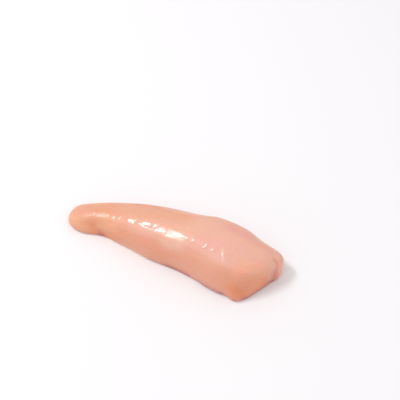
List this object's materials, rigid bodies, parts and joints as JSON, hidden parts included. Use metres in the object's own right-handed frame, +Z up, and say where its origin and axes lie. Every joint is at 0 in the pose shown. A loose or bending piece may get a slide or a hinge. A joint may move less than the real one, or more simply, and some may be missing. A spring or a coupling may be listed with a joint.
{
  "type": "raw chicken breast",
  "caption": "Boneless, skinless raw chicken breast fillet: a long, smooth, tapering muscle with a rounded tail, a thick blunt end cut at a slant and a flat underside.",
  "frame": {"origin": "middle of the fillet's box, on the flat underside that it lies on", "axes": "+X along the fillet towards its thick shoulder end, +Y towards its thinner side, +Z up out of the underside"},
  "size_m": [0.1856, 0.0648, 0.0341],
  "materials": {
    "raw_chicken": "wet, pale peach raw flesh with a soft gloss"
  },
  "bodies": {
    "root": {"chicken_breast": "raw_chicken"}
  },
  "joints": []
}
